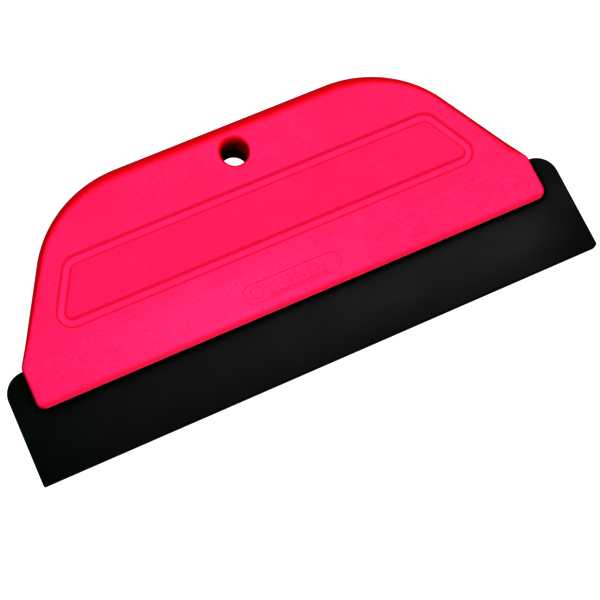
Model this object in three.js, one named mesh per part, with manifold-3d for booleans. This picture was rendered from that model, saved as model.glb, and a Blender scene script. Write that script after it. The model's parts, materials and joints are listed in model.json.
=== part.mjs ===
// Squeegee applicator: a moulded two-shell handle clamps the upper part of a wide rubber blade.
//
// The tool is drawn upright in its own frame, in millimetres: x runs along the blade, y from the
// handle's lower edge (y = 0) up to the palm edge, and z out of the front face, with the blade's
// mid-plane at z = 0. At the end the tool is laid on its back, with the origin at the middle of
// the footprint on the surface that it lies on.

import * as THREE from 'three';
import { mergeVertices } from 'three/addons/utils/BufferGeometryUtils.js';
import Module from 'manifold-3d';

const wasm = await Module();
wasm.setup();

// ---- Driving dimensions -----------------------------------------------------------------------

const CLEARANCE = 0.3;

const BLADE_WIDTH = 240;
const BLADE_THICKNESS = 4;
const BLADE_TOP = 17.4;
const BLADE_BOTTOM = -27.1;
const BLADE_TOP_CORNER = 9;
const BLADE_LEFT_CORNER = 0.5;
const BLADE_RIGHT_CORNER = 1.2;
const FLEX_AXIS_Y = -1.2;

const HANDLE_LENGTH = 221.5;
const HANDLE_HEIGHT = 79.9;
const SIDE_LEAN = THREE.MathUtils.degToRad(29.7);
const JAW_CORNER = 3.75;
const KINK_CORNER = 3;
const PALM_CORNER = 50;

const JAW_HALF_THICKNESS = 5;
const CREASE_Y = 17.5;
const WEDGE_SLOPE = 0.12;

const JAW_EDGE = 1.9;
const SIDE_EDGE = 4.6;
const PALM_EDGE = 8.5;
const JAW_EDGE_DROP = 2.3;
const SEAM_FLAT = 0.6;
const FULL_ROUND_Y = 28;
const EDGE_STEPS = 14;

const SIDE_POINT_STEP = 4;

const HANG_HOLE_RADIUS = 5.7;
const HANG_HOLE_Y = 65.5;
const HANG_HOLE_RIM = 1.4;
const HANG_HOLE_RIM_STEPS = 4;
const HANG_HOLE_WALL = 3;

const GROOVE_TOP_Y = 49.5;
const GROOVE_BOTTOM_Y = 26.35;
const GROOVE_BOTTOM_HALF_LENGTH = 91.8;
const GROOVE_TOP_CORNER = 5.3;
const GROOVE_BOTTOM_CORNER = 4.2;
const GROOVE_WIDTH = 4.6;
const GROOVE_FLOOR = 2;
const GROOVE_DEPTH = 1.1;

const BADGE_LENGTH = 42.5;
const BADGE_HEIGHT = 8.4;
const BADGE_Y = 9.2;
const BADGE_DEPTH = 0.3;

const WALL = 2.6;
const POCKET_SIDE_MARGIN = 3.6;
const POCKET_TOP_Y = 72;
const POCKET_CORNER = 38;
const POCKET_LOWER_CORNER = 2;
const RIB_THICKNESS = 2;
const RIB_X = [-60, -20, 20, 60];

const BLADE_PEG_RADIUS = 2.2;
const BLADE_PEG_Y = 9.5;
const BLADE_PEG_X = [-90, -60, -30, 30, 60, 90];
const BLADE_PEG_END = 3.7;
const RIM_PEG_RADIUS = 1.6;
const RIM_PEG_Y = 75;
const RIM_PEG_X = [-36, 36];
const RIM_PEG_END = 3;
const BLADE_PEG_ROOT = 0.3;
const RIM_PEG_ROOT = 1;

const ROUND_SEGMENTS = 48;
const PEG_SEGMENTS = 20;
const FAR = 400;
const HAIR = 1e-3;

const pinkPlastic = { color: 0xff1f5f, roughness: 0.55, metalness: 0 };
const blackRubber = { color: 0x0f1010, roughness: 0.6, metalness: 0 };

// ---- Solids -----------------------------------------------------------------------------------

// A closed three.js geometry as a solid that can be cut and joined.
function solid(geometry) {
  geometry.deleteAttribute('normal');
  geometry.deleteAttribute('uv');
  const merged = mergeVertices(geometry, 1e-4);
  return new wasm.Manifold(new wasm.Mesh({
    numProp: 3,
    vertProperties: merged.attributes.position.array,
    triVerts: merged.index.array,
  }));
}

// A closed triangle mesh from plain lists of points and triangles.
function solidFromLists(points, triangles) {
  return new wasm.Manifold(new wasm.Mesh({
    numProp: 3,
    vertProperties: new Float32Array(points.flat()),
    triVerts: new Uint32Array(triangles.flat()),
  }));
}

function box(x0, x1, y0, y1, z0, z1) {
  const geometry = new THREE.BoxGeometry(x1 - x0, y1 - y0, z1 - z0);
  geometry.translate((x0 + x1) / 2, (y0 + y1) / 2, (z0 + z1) / 2);
  return solid(geometry);
}

// A round bar along z, centred on (x, y).
function barAlongZ(radius, x, y, z0, z1, segments = PEG_SEGMENTS) {
  const geometry = new THREE.CylinderGeometry(radius, radius, z1 - z0, segments);
  geometry.rotateX(Math.PI / 2);
  geometry.translate(x, y, (z0 + z1) / 2);
  return solid(geometry);
}

// A flat outline given as [x, y] points, extruded from z0 to z1.
function prismAlongZ(points, z0, z1) {
  const shape = new THREE.Shape(points.map(([x, y]) => new THREE.Vector2(x, y)));
  const geometry = new THREE.ExtrudeGeometry(shape, { depth: z1 - z0, bevelEnabled: false });
  geometry.translate(0, 0, z0);
  return solid(geometry);
}

// A section given as [y, z] points, extruded along x and centred on x = 0.
function prismAlongX(points, length) {
  const shape = new THREE.Shape(points.map(([y, z]) => new THREE.Vector2(y, z)));
  const geometry = new THREE.ExtrudeGeometry(shape, { depth: length, bevelEnabled: false });
  geometry.translate(0, 0, -length / 2);
  const turned = new THREE.Matrix4().set(
    0, 0, 1, 0,
    1, 0, 0, 0,
    0, 1, 0, 0,
    0, 0, 0, 1,
  );
  geometry.applyMatrix4(turned);
  return solid(geometry);
}

function joined(solids) {
  return solids.reduce((sum, next) => sum.add(next));
}

function mesh(name, body, look) {
  const { vertProperties, triVerts } = body.getMesh();
  const geometry = new THREE.BufferGeometry();
  geometry.setAttribute('position', new THREE.BufferAttribute(new Float32Array(vertProperties), 3));
  geometry.setIndex(new THREE.BufferAttribute(new Uint32Array(triVerts), 1));
  geometry.computeVertexNormals();
  const part = new THREE.Mesh(geometry, new THREE.MeshStandardMaterial(look));
  part.name = name;
  return part;
}

// ---- Outlines ---------------------------------------------------------------------------------

// An anticlockwise outline with rounded corners. Each corner is { x, y, radius, steps }. Each
// point that comes back holds its place and its outward normal.
function roundedOutline(corners) {
  const outline = [];
  corners.forEach((corner, i) => {
    const here = new THREE.Vector2(corner.x, corner.y);
    const before = corners.at(i - 1);
    const after = corners[(i + 1) % corners.length];
    const along = here.clone().sub(new THREE.Vector2(before.x, before.y)).normalize();
    const onward = new THREE.Vector2(after.x, after.y).sub(here).normalize();
    const turn = Math.acos(along.dot(onward));
    const start = here.clone().addScaledVector(along, -corner.radius * Math.tan(turn / 2));
    const centreX = start.x - along.y * corner.radius;
    const centreY = start.y + along.x * corner.radius;
    const firstAngle = Math.atan2(-along.x, along.y);
    for (let step = 0; step <= corner.steps; step += 1) {
      const angle = firstAngle + (turn * step) / corner.steps;
      const nx = Math.cos(angle);
      const ny = Math.sin(angle);
      outline.push({ x: centreX + nx * corner.radius, y: centreY + ny * corner.radius, nx, ny });
    }
  });
  return outline;
}

// Corners on the right-hand side, from bottom to top, and their mirror images on the left.
function symmetricOutline(rightCorners) {
  const leftCorners = rightCorners.toReversed().map((corner) => ({ ...corner, x: -corner.x }));
  return roundedOutline([...rightCorners, ...leftCorners]);
}

const flat = (outline) => outline.map(({ x, y }) => [x, y]);

// ---- Handle form ------------------------------------------------------------------------------

const HALF_LENGTH = HANDLE_LENGTH / 2;
const KINK_Y = CREASE_Y + KINK_CORNER * Math.tan(SIDE_LEAN / 2);

// x of the leaning side at height y, moved inwards by a margin.
const sideX = (y, margin = 0) => (
  HALF_LENGTH - (y - KINK_Y) * Math.tan(SIDE_LEAN) - margin / Math.cos(SIDE_LEAN)
);

const PALM_ARC_START = HANDLE_HEIGHT - PALM_CORNER * (1 - Math.sin(SIDE_LEAN));

// Height of the front face above the mid-plane: level on the jaw, then a wedge up to the palm.
const faceHeight = (y) => JAW_HALF_THICKNESS + WEDGE_SLOPE * Math.max(0, y - CREASE_Y);

// How far the rim's rounding reaches in: little on the jaw, more up the sides, most at the palm.
function edgeReach(y) {
  if (y <= PALM_ARC_START) {
    const side = THREE.MathUtils.clamp((y - CREASE_Y) / (PALM_ARC_START - CREASE_Y), 0, 1);
    return THREE.MathUtils.lerp(JAW_EDGE, SIDE_EDGE, side);
  }
  const palm = Math.min(1, (y - PALM_ARC_START) / (HANDLE_HEIGHT - PALM_ARC_START));
  return THREE.MathUtils.lerp(SIDE_EDGE, PALM_EDGE, palm ** 2);
}

// How far the rounding drops from the face: a small lip on the jaw, almost to the seam above it.
function edgeDrop(y) {
  const full = faceHeight(y) - SEAM_FLAT;
  const share = THREE.MathUtils.smoothstep(y, CREASE_Y, FULL_ROUND_Y);
  return THREE.MathUtils.lerp(JAW_EDGE_DROP, full, share);
}

// Extra points along the sides, where the rounding grows.
function withSidePoints(outline) {
  return outline.flatMap((point, i) => {
    const next = outline[(i + 1) % outline.length];
    const onSide = Math.abs(next.y - point.y) > SIDE_POINT_STEP && point.y > CREASE_Y && next.y > CREASE_Y;
    const pieces = onSide ? Math.ceil(Math.abs(next.y - point.y) / SIDE_POINT_STEP) : 1;
    return Array.from({ length: pieces }, (_, piece) => ({
      ...point,
      x: THREE.MathUtils.lerp(point.x, next.x, piece / pieces),
      y: THREE.MathUtils.lerp(point.y, next.y, piece / pieces),
    }));
  });
}

const handleOutline = withSidePoints(symmetricOutline([
  { x: HALF_LENGTH, y: 0, radius: JAW_CORNER, steps: 5 },
  { x: HALF_LENGTH, y: KINK_Y, radius: KINK_CORNER, steps: 3 },
  { x: sideX(HANDLE_HEIGHT), y: HANDLE_HEIGHT, radius: PALM_CORNER, steps: 18 },
]));

// One ring round the handle at a stage of its edge rounding: 0 is the side wall, 1 is the face.
function edgeRing(stage, side) {
  const angle = (stage * Math.PI) / 2;
  return handleOutline.map((point) => {
    const inset = edgeReach(point.y) * (1 - Math.cos(angle));
    const x = point.x - point.nx * inset;
    const y = point.y - point.ny * inset;
    const z = faceHeight(y) - edgeDrop(point.y) * (1 - Math.sin(angle));
    return [x, y, side * z];
  });
}

// The jaw part and the wedge part of a face, each flat, as triangles over one ring's points.
function faceTriangles(ring) {
  const nudge = 1e-6;
  const parts = [
    ring.map((_, i) => i).filter((i) => ring[i][1] <= CREASE_Y + nudge),
    ring.map((_, i) => i).filter((i) => ring[i][1] >= CREASE_Y - nudge),
  ];
  return parts.flatMap((indices) => {
    const contour = indices.map((i) => new THREE.Vector2(ring[i][0], ring[i][1]));
    return THREE.ShapeUtils.triangulateShape(contour, [])
      .map((triangle) => triangle.map((corner) => indices[corner]));
  });
}

// The solid outer form of the whole handle, before it is hollowed and split.
function handleForm() {
  const stages = Array.from({ length: EDGE_STEPS + 1 }, (_, i) => i / EDGE_STEPS);
  const rings = [
    ...stages.toReversed().map((stage) => edgeRing(stage, -1)),
    ...stages.map((stage) => edgeRing(stage, 1)),
  ];
  const count = handleOutline.length;
  const triangles = [];
  for (let level = 0; level < rings.length - 1; level += 1) {
    for (let i = 0; i < count; i += 1) {
      const low = level * count + i;
      const lowNext = level * count + ((i + 1) % count);
      triangles.push([low, lowNext, lowNext + count], [low, lowNext + count, low + count]);
    }
  }
  const lastRing = (rings.length - 1) * count;
  faceTriangles(rings.at(-1)).forEach(([a, b, c]) => {
    triangles.push([lastRing + a, lastRing + b, lastRing + c]);
  });
  faceTriangles(rings[0]).forEach(([a, b, c]) => {
    triangles.push([a, c, b]);
  });
  return solidFromLists(rings.flat(), triangles);
}

// ---- What is cut from the handle --------------------------------------------------------------

// The decorative channel on one face: a flat-bottomed groove round a trapezium.
function groove(side) {
  const slope = Math.tan(SIDE_LEAN);
  const topHalfLength = GROOVE_BOTTOM_HALF_LENGTH - (GROOVE_TOP_Y - GROOVE_BOTTOM_Y) * slope;
  const centreLine = symmetricOutline([
    { x: GROOVE_BOTTOM_HALF_LENGTH, y: GROOVE_BOTTOM_Y, radius: GROOVE_BOTTOM_CORNER, steps: 7 },
    { x: topHalfLength, y: GROOVE_TOP_Y, radius: GROOVE_TOP_CORNER, steps: 4 },
  ]);
  const above = 0.5;
  const wallRun = (GROOVE_WIDTH - GROOVE_FLOOR) / 2 / GROOVE_DEPTH;
  const mouth = GROOVE_WIDTH / 2 + above * wallRun;
  const section = [
    [-mouth, above],
    [-GROOVE_FLOOR / 2, -GROOVE_DEPTH],
    [GROOVE_FLOOR / 2, -GROOVE_DEPTH],
    [mouth, above],
  ];
  const points = centreLine.flatMap((point) => section.map(([across, height]) => {
    const y = point.y + point.ny * across;
    return [point.x + point.nx * across, y, side * (faceHeight(y) + height)];
  }));
  const triangles = [];
  centreLine.forEach((_, i) => {
    const next = (i + 1) % centreLine.length;
    section.forEach((__, j) => {
      const a = i * section.length + j;
      const b = i * section.length + ((j + 1) % section.length);
      const c = next * section.length + j;
      const d = next * section.length + ((j + 1) % section.length);
      if (side > 0) triangles.push([a, c, d], [a, d, b]);
      else triangles.push([a, d, c], [a, b, d]);
    });
  });
  return solidFromLists(points, triangles);
}

// The hanging hole, with its rim rounded on both faces.
function hangHole() {
  const above = 3;
  const core = HANG_HOLE_RADIUS - 1;
  const round = Array.from({ length: HANG_HOLE_RIM_STEPS + 1 }, (_, i) => {
    const angle = (i / HANG_HOLE_RIM_STEPS) * (Math.PI / 2);
    return new THREE.Vector2(
      HANG_HOLE_RADIUS + HANG_HOLE_RIM * (1 - Math.cos(angle)),
      HANG_HOLE_RIM * (Math.sin(angle) - 1),
    );
  });
  const profile = [
    new THREE.Vector2(core, -HANG_HOLE_RIM),
    ...round,
    new THREE.Vector2(HANG_HOLE_RADIUS + HANG_HOLE_RIM, above),
    new THREE.Vector2(core, above),
    new THREE.Vector2(core, -HANG_HOLE_RIM),
  ];
  const rims = [1, -1].map((side) => {
    const ring = new THREE.LatheGeometry(profile, ROUND_SEGMENTS);
    ring.rotateX(side * (Math.PI / 2 + Math.atan(WEDGE_SLOPE)));
    ring.translate(0, HANG_HOLE_Y, side * faceHeight(HANG_HOLE_Y));
    return solid(ring);
  });
  const bore = barAlongZ(HANG_HOLE_RADIUS, 0, HANG_HOLE_Y, -FAR, FAR, ROUND_SEGMENTS);
  return joined([bore, ...rims]);
}

// The plain badge recess low on the front face.
function badge() {
  const radius = BADGE_HEIGHT / 2;
  const outline = symmetricOutline([
    { x: BADGE_LENGTH / 2, y: BADGE_Y - radius, radius: radius - HAIR, steps: 6 },
    { x: BADGE_LENGTH / 2, y: BADGE_Y + radius, radius: radius - HAIR, steps: 6 },
  ]);
  return prismAlongZ(flat(outline), JAW_HALF_THICKNESS - BADGE_DEPTH, JAW_HALF_THICKNESS + 1);
}

const WEB_TOP_Y = BLADE_TOP + CLEARANCE + WALL;

// The hollow inside both shells, left open round the ribs and round the hanging hole's tube.
function pockets() {
  const outline = symmetricOutline([
    {
      x: sideX(WEB_TOP_Y, POCKET_SIDE_MARGIN),
      y: WEB_TOP_Y,
      radius: POCKET_LOWER_CORNER,
      steps: 3,
    },
    {
      x: sideX(POCKET_TOP_Y, POCKET_SIDE_MARGIN),
      y: POCKET_TOP_Y,
      radius: POCKET_CORNER,
      steps: 9,
    },
  ]);
  const lowZ = faceHeight(WEB_TOP_Y) - WALL;
  const highZ = faceHeight(POCKET_TOP_Y) - WALL;
  const wedge = prismAlongX([
    [WEB_TOP_Y, -lowZ],
    [POCKET_TOP_Y, -highZ],
    [POCKET_TOP_Y, highZ],
    [WEB_TOP_Y, lowZ],
  ], FAR);
  const kept = [
    barAlongZ(HANG_HOLE_RADIUS + HANG_HOLE_WALL, 0, HANG_HOLE_Y, -FAR, FAR, ROUND_SEGMENTS),
    ...RIB_X.map((x) => box(x - RIB_THICKNESS / 2, x + RIB_THICKNESS / 2, 0, FAR, -FAR, FAR)),
  ];
  return prismAlongZ(flat(outline), -FAR, FAR).intersect(wedge).subtract(joined(kept));
}

const SLOT_HALF = BLADE_THICKNESS / 2 + CLEARANCE;

function bladeSlot() {
  return box(-FAR, FAR, -FAR, BLADE_TOP + CLEARANCE, -SLOT_HALF, SLOT_HALF);
}

// Pegs moulded on the rear shell, or the sockets that take them when a clearance is given.
function pegs(clearance = 0) {
  const peg = (radius, x, y, root, end) => (
    barAlongZ(radius + clearance, x, y, root, end + clearance)
  );
  const bladeRoot = -SLOT_HALF - BLADE_PEG_ROOT;
  return joined([
    ...BLADE_PEG_X.map((x) => peg(BLADE_PEG_RADIUS, x, BLADE_PEG_Y, bladeRoot, BLADE_PEG_END)),
    ...RIM_PEG_X.map((x) => peg(RIM_PEG_RADIUS, x, RIM_PEG_Y, -RIM_PEG_ROOT, RIM_PEG_END)),
  ]);
}

// ---- Nodes ------------------------------------------------------------------------------------

function handleShells() {
  const hollowed = handleForm()
    .subtract(pockets())
    .subtract(bladeSlot())
    .subtract(hangHole())
    .subtract(groove(1))
    .subtract(groove(-1));
  const half = CLEARANCE / 2;
  const front = hollowed
    .intersect(box(-FAR, FAR, -FAR, FAR, half, FAR))
    .subtract(badge())
    .subtract(pegs(CLEARANCE));
  const rear = hollowed
    .intersect(box(-FAR, FAR, -FAR, FAR, -FAR, -half))
    .add(pegs());
  return [
    mesh('handle_front_shell', front, pinkPlastic),
    mesh('handle_rear_shell', rear, pinkPlastic),
  ];
}

// Half of a circle about the flex axis, as [y, z] points from the rear to the front.
function halfRound(radius, fromAngle, toAngle, steps) {
  return Array.from({ length: steps + 1 }, (_, i) => {
    const angle = THREE.MathUtils.lerp(fromAngle, toAngle, i / steps);
    return [FLEX_AXIS_Y + radius * Math.cos(angle), radius * Math.sin(angle)];
  });
}

// The blade in two parts that meet at the line where the rubber bends: the root, held in the jaw,
// and the lip below it, which ends upwards in a half-round that turns in the root's hollow.
function bladeParts() {
  const half = BLADE_THICKNESS / 2;
  const end = BLADE_WIDTH / 2;
  const outline = roundedOutline([
    { x: end, y: BLADE_BOTTOM, radius: BLADE_RIGHT_CORNER, steps: 3 },
    { x: end, y: BLADE_TOP, radius: BLADE_TOP_CORNER, steps: 10 },
    { x: -end, y: BLADE_TOP, radius: BLADE_TOP_CORNER, steps: 10 },
    { x: -end, y: BLADE_BOTTOM, radius: BLADE_LEFT_CORNER, steps: 2 },
  ]);
  const sheet = prismAlongZ(flat(outline), -half, half);
  const hollowRadius = half + CLEARANCE;
  const hollowAngle = Math.asin(half / hollowRadius);
  const rootSection = [
    ...halfRound(hollowRadius, -hollowAngle, hollowAngle, 8),
    [BLADE_TOP, half],
    [BLADE_TOP, -half],
  ];
  const lipSection = [
    [BLADE_BOTTOM, -half],
    ...halfRound(half, -Math.PI / 2, Math.PI / 2, 10),
    [BLADE_BOTTOM, half],
  ];
  const holes = BLADE_PEG_X.map((x) => (
    barAlongZ(BLADE_PEG_RADIUS + CLEARANCE, x, BLADE_PEG_Y, -FAR, FAR)
  ));
  const root = sheet.intersect(prismAlongX(rootSection.toReversed(), FAR)).subtract(joined(holes));
  const lip = sheet.intersect(prismAlongX(lipSection, FAR));
  return [
    mesh('blade_root', root, blackRubber),
    mesh('blade_lip', lip, blackRubber),
  ];
}

// ---- Assembly ---------------------------------------------------------------------------------

// The angle that lays the tool on its back, resting on the jaw's nose and on the palm roll.
function restingTilt(rearShell) {
  const position = rearShell.geometry.attributes.position;
  const lowest = (from, to, tilt) => {
    const found = { y: 0, z: 0, height: Infinity };
    for (let i = 0; i < position.count; i += 1) {
      const y = position.getY(i);
      const z = position.getZ(i);
      const height = y * Math.sin(tilt) + z * Math.cos(tilt);
      if (y >= from && y <= to && height < found.height) Object.assign(found, { y, z, height });
    }
    return found;
  };
  let tilt = 0;
  for (let pass = 0; pass < 4; pass += 1) {
    const nose = lowest(0, CREASE_Y, tilt);
    const palm = lowest(PALM_ARC_START, HANDLE_HEIGHT, tilt);
    tilt = Math.atan2(nose.z - palm.z, palm.y - nose.y);
  }
  return tilt;
}

const tool = new THREE.Group();
const shells = handleShells();
tool.add(...shells, ...bladeParts());
tool.rotation.x = restingTilt(shells[1]);

const bounds = new THREE.Box3().setFromObject(tool, true);
tool.position.y = -(bounds.min.y + bounds.max.y) / 2;
tool.position.z = -bounds.min.z;

const squeegee = new THREE.Group();
squeegee.add(tool);
squeegee.updateMatrixWorld(true);

export default squeegee;
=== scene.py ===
"""Squeegee applicator, lying on its back on a pale floor.

The two handle shells and the rubber blade are drawn upright in the tool's own frame, in
millimetres: x along the blade, y from the handle's lower edge up to the palm edge, z out of the
front face. place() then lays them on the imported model, in metres.
"""

import json
import math

import bpy
import numpy as np
from mathutils import Matrix, Vector
from mathutils.geometry import delaunay_2d_cdt


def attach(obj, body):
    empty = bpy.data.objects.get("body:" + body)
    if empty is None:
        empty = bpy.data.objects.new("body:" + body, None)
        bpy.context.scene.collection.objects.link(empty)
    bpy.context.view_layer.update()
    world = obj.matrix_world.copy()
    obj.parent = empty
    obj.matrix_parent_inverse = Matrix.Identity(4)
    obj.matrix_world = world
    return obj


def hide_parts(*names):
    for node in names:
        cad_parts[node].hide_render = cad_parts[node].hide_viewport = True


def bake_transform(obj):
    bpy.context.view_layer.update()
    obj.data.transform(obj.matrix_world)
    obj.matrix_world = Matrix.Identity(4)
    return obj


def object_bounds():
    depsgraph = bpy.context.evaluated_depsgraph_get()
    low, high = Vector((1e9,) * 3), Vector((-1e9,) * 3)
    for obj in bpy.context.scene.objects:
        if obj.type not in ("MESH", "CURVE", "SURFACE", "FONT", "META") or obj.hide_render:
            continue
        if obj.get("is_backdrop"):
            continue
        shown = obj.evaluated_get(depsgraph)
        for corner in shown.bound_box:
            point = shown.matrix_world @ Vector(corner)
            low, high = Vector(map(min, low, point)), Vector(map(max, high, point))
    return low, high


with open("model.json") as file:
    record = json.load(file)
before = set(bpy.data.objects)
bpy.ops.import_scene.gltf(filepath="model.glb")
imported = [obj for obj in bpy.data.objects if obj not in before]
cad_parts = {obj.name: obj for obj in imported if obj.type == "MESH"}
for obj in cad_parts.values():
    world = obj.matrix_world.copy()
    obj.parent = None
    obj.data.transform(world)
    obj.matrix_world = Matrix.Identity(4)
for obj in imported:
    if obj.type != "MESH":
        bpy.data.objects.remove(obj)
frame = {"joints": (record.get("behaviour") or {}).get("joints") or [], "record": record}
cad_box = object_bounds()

# ---- Driving dimensions, mm --------------------------------------------------------------------

BLADE_WIDTH = 240.0
BLADE_THICKNESS = 4.0
BLADE_TOP = 17.4
BLADE_BOTTOM = -27.1
BLADE_TOP_CORNER = 9.0
BLADE_LEFT_CORNER = 0.5
BLADE_RIGHT_CORNER = 1.2
BLADE_EDGE = 0.3
FLEX_AXIS_Y = -1.2
FLEX_START_Y = 0.6
FLEX_END_Y = -7.0
FLEX_ROW_STEP = 0.5

HANDLE_LENGTH = 221.5
HANDLE_HEIGHT = 79.9
SIDE_LEAN = math.radians(29.7)
JAW_CORNER = 3.75
KINK_Y = 18.3
KINK_CORNER = 3.0
PALM_CORNER = 50.0

JAW_HALF_THICKNESS = 5.0
CREASE_Y = 17.5
CREASE_BLEND = 0.7
CREASE_ROWS = (-1.6, -1.0, -0.5, 0.0, 0.5, 1.0, 1.6)
CREASE_END_MARGIN = 3.5
WEDGE_SLOPE = 0.12

JAW_EDGE = 1.9
SIDE_EDGE = 4.6
PALM_EDGE = 8.5
JAW_EDGE_DROP = 2.3
SEAM_FLAT = 0.6
FULL_ROUND_Y = 28.0

HANG_HOLE_RADIUS = 5.7
HANG_HOLE_Y = 65.5
HANG_HOLE_RIM = 1.4
HANG_HOLE_WALL = 3.0
HANG_HOLE_SINK = 0.012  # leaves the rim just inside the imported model's box
HANG_HOLE_TUBE_TOP = 15.0

GROOVE_TOP_Y = 49.5
GROOVE_BOTTOM_Y = 26.35
GROOVE_BOTTOM_HALF_LENGTH = 91.8
GROOVE_TOP_CORNER = 5.3
GROOVE_BOTTOM_CORNER = 4.2
GROOVE_HALF_FLOOR = 1.0
GROOVE_HALF_MOUTH = 2.3
GROOVE_DEPTH = 1.1

BADGE_LENGTH = 42.5
BADGE_HEIGHT = 8.4
BADGE_Y = 9.2
BADGE_DEPTH = 0.3
BADGE_WALL = 0.35
BADGE_WALL_SHARES = (0.0, 0.15, 0.5, 0.85, 1.0)
DISC_X = -15.2
DISC_RADIUS = 2.4
BAR_COUNT = 9
BAR_START_X = -9.5
BAR_PITCH = 2.9
BAR_Y = 9.9
BAR_WIDTH = 1.1
BAR_HEIGHT = 3.4
LINE_Y = 6.6
LINE_HEIGHT = 0.6
RELIEF_HEIGHT = 0.2
RELIEF_SECTION = ((0.3, 0.0), (0.12, 0.0), (0.0, 0.6), (-0.12, 1.0), (-0.25, 1.0))

SEAM_HALF_GAP = 0.04
SEAM_CHAMFER = 0.25
SLOT_HALF = BLADE_THICKNESS / 2 + 0.06
SLOT_TOP = BLADE_TOP + 0.15
SLOT_FLARE = 0.35
SLOT_START = -5.0

WALL = 2.6
WEB_TOP_Y = 20.3
POCKET_TOP_Y = 72.0
POCKET_SIDE_MARGIN = 3.6
POCKET_CORNER = 38.0
POCKET_FOOT_CORNER = 2.0
RIB_HALF_THICKNESS = 1.0
RIB_X = (-60.0, -20.0, 20.0, 60.0)

BLADE_PEG_RADIUS = 2.2
BLADE_PEG_Y = 9.5
BLADE_PEG_X = (-90.0, -60.0, -30.0, 30.0, 60.0, 90.0)
BLADE_PEG_START = -SLOT_HALF - 0.4
BLADE_PEG_END = 3.7
RIM_PEG_RADIUS = 1.6
RIM_PEG_Y = 75.0
RIM_PEG_X = (-36.0, 36.0)
RIM_PEG_START = -1.0
RIM_PEG_END = 3.0
PEG_CLEARANCE = 0.3

MM = 0.001


# ---- Fineness of the meshes, mm or counts -------------------------------------------------------

CURVE_STEP = 1.0
STRAIGHT_STEP = 4.0
BADGE_CURVE_STEP = 0.7
RELIEF_CURVE_STEP = 0.25
POCKET_CURVE_STEP = 2.0
BLADE_CURVE_STEP = 0.5
EDGE_STEPS = 14
EDGE_STEPS_BRIDGED = 12  # of those, how many are joined ring to ring
GROOVE_WALL_POINTS = 8
CREASE_POINTS = 56
HOLE_STEPS = 72
HOLE_RIM_RINGS = 8
PEG_STEPS = 28
DISC_STEPS = 40
BLADE_EDGE_RINGS = 9
BLADE_ROW_POINTS = 80
BLADE_ROW_MARGIN = 1.0
GUARD = 0.4  # to the extra loop that keeps the surface true just past an edge
HAIR = 0.01  # too short to see
OVERCUT = 1.0  # how far a cutter reaches past what it cuts
MERGE_DISTANCE = 1e-7


# ---- Where the tool lies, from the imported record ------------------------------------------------

def tool_matrix():
    """The tool's own frame, in millimetres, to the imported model's frame, in metres."""
    mounts = {mount["name"]: mount for mount in frame["record"]["mounts"]}
    flex = next(joint for joint in frame["joints"] if joint["name"] == "blade_flex")
    out = Vector(mounts["front_jaw_face"]["axis"]).normalized()
    up = -Vector(mounts["working_edge"]["axis"]).normalized()
    along = up.cross(out)
    origin = Vector(flex["pos_m"]) - up * FLEX_AXIS_Y * MM
    turn = Matrix((along, up, out)).transposed().to_4x4()
    return Matrix.Translation(origin) @ turn @ Matrix.Scale(MM, 4)


TOOL = tool_matrix()


# ---- Outlines -----------------------------------------------------------------------------------

def rounded_outline(corners, curve_step=CURVE_STEP, straight_step=STRAIGHT_STEP):
    """Anticlockwise outline from (x, y, radius) corners, as an array of x, y and outward normal."""
    arcs = []
    for i, (x, y, radius) in enumerate(corners):
        here = np.array((x, y))
        along = here - np.array(corners[i - 1][:2])
        onward = np.array(corners[(i + 1) % len(corners)][:2]) - here
        along = along / np.linalg.norm(along)
        onward = onward / np.linalg.norm(onward)
        turn = math.acos(float(along @ onward))
        start = here - along * radius * math.tan(turn / 2)
        centre = start + radius * np.array((-along[1], along[0]))
        steps = max(3, math.ceil(radius * turn / curve_step))
        angles = math.atan2(-along[0], along[1]) + np.linspace(0, turn, steps + 1)
        normals = np.column_stack((np.cos(angles), np.sin(angles)))
        arcs.append(np.hstack((centre + radius * normals, normals)))
    outline = []
    for i, arc in enumerate(arcs):
        following = arcs[(i + 1) % len(arcs)][0]
        outline.append(arc)
        length = np.linalg.norm(following[:2] - arc[-1, :2])
        pieces = max(1, math.ceil(length / straight_step))
        shares = np.arange(1, pieces)[:, None] / pieces
        outline.append(arc[-1] + shares * (following - arc[-1]))
    return np.vstack(outline)


def symmetric_outline(right_corners, **steps):
    left_corners = [(-x, y, radius) for x, y, radius in reversed(right_corners)]
    return rounded_outline([*right_corners, *left_corners], **steps)


def circle(radius, x, y, steps):
    angles = np.linspace(0, 2 * math.pi, steps, endpoint=False)
    normals = np.column_stack((np.cos(angles), np.sin(angles)))
    return np.hstack((np.array((x, y)) + radius * normals, normals))


def moved_out(outline, distance):
    """x and y of an outline moved outwards, by one distance or by one for each point."""
    return outline[:, :2] + outline[:, 2:] * np.reshape(distance, (-1, 1))


def with_z(points, z):
    return np.column_stack((points[:, 0], points[:, 1], np.broadcast_to(z, len(points))))


def inside(points, loop):
    """Which points lie inside a closed loop."""
    found = np.zeros(len(points), bool)
    for (x0, y0), (x1, y1) in zip(loop, np.roll(loop, -1, axis=0)):
        crosses = (points[:, 1] < y0) != (points[:, 1] < y1)
        rise = y1 - y0 if y1 != y0 else 1.0
        found ^= crosses & (points[:, 0] < x0 + (points[:, 1] - y0) * (x1 - x0) / rise)
    return found


# ---- Meshes -------------------------------------------------------------------------------------

INSIDE_OUTLINE = 1


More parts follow.
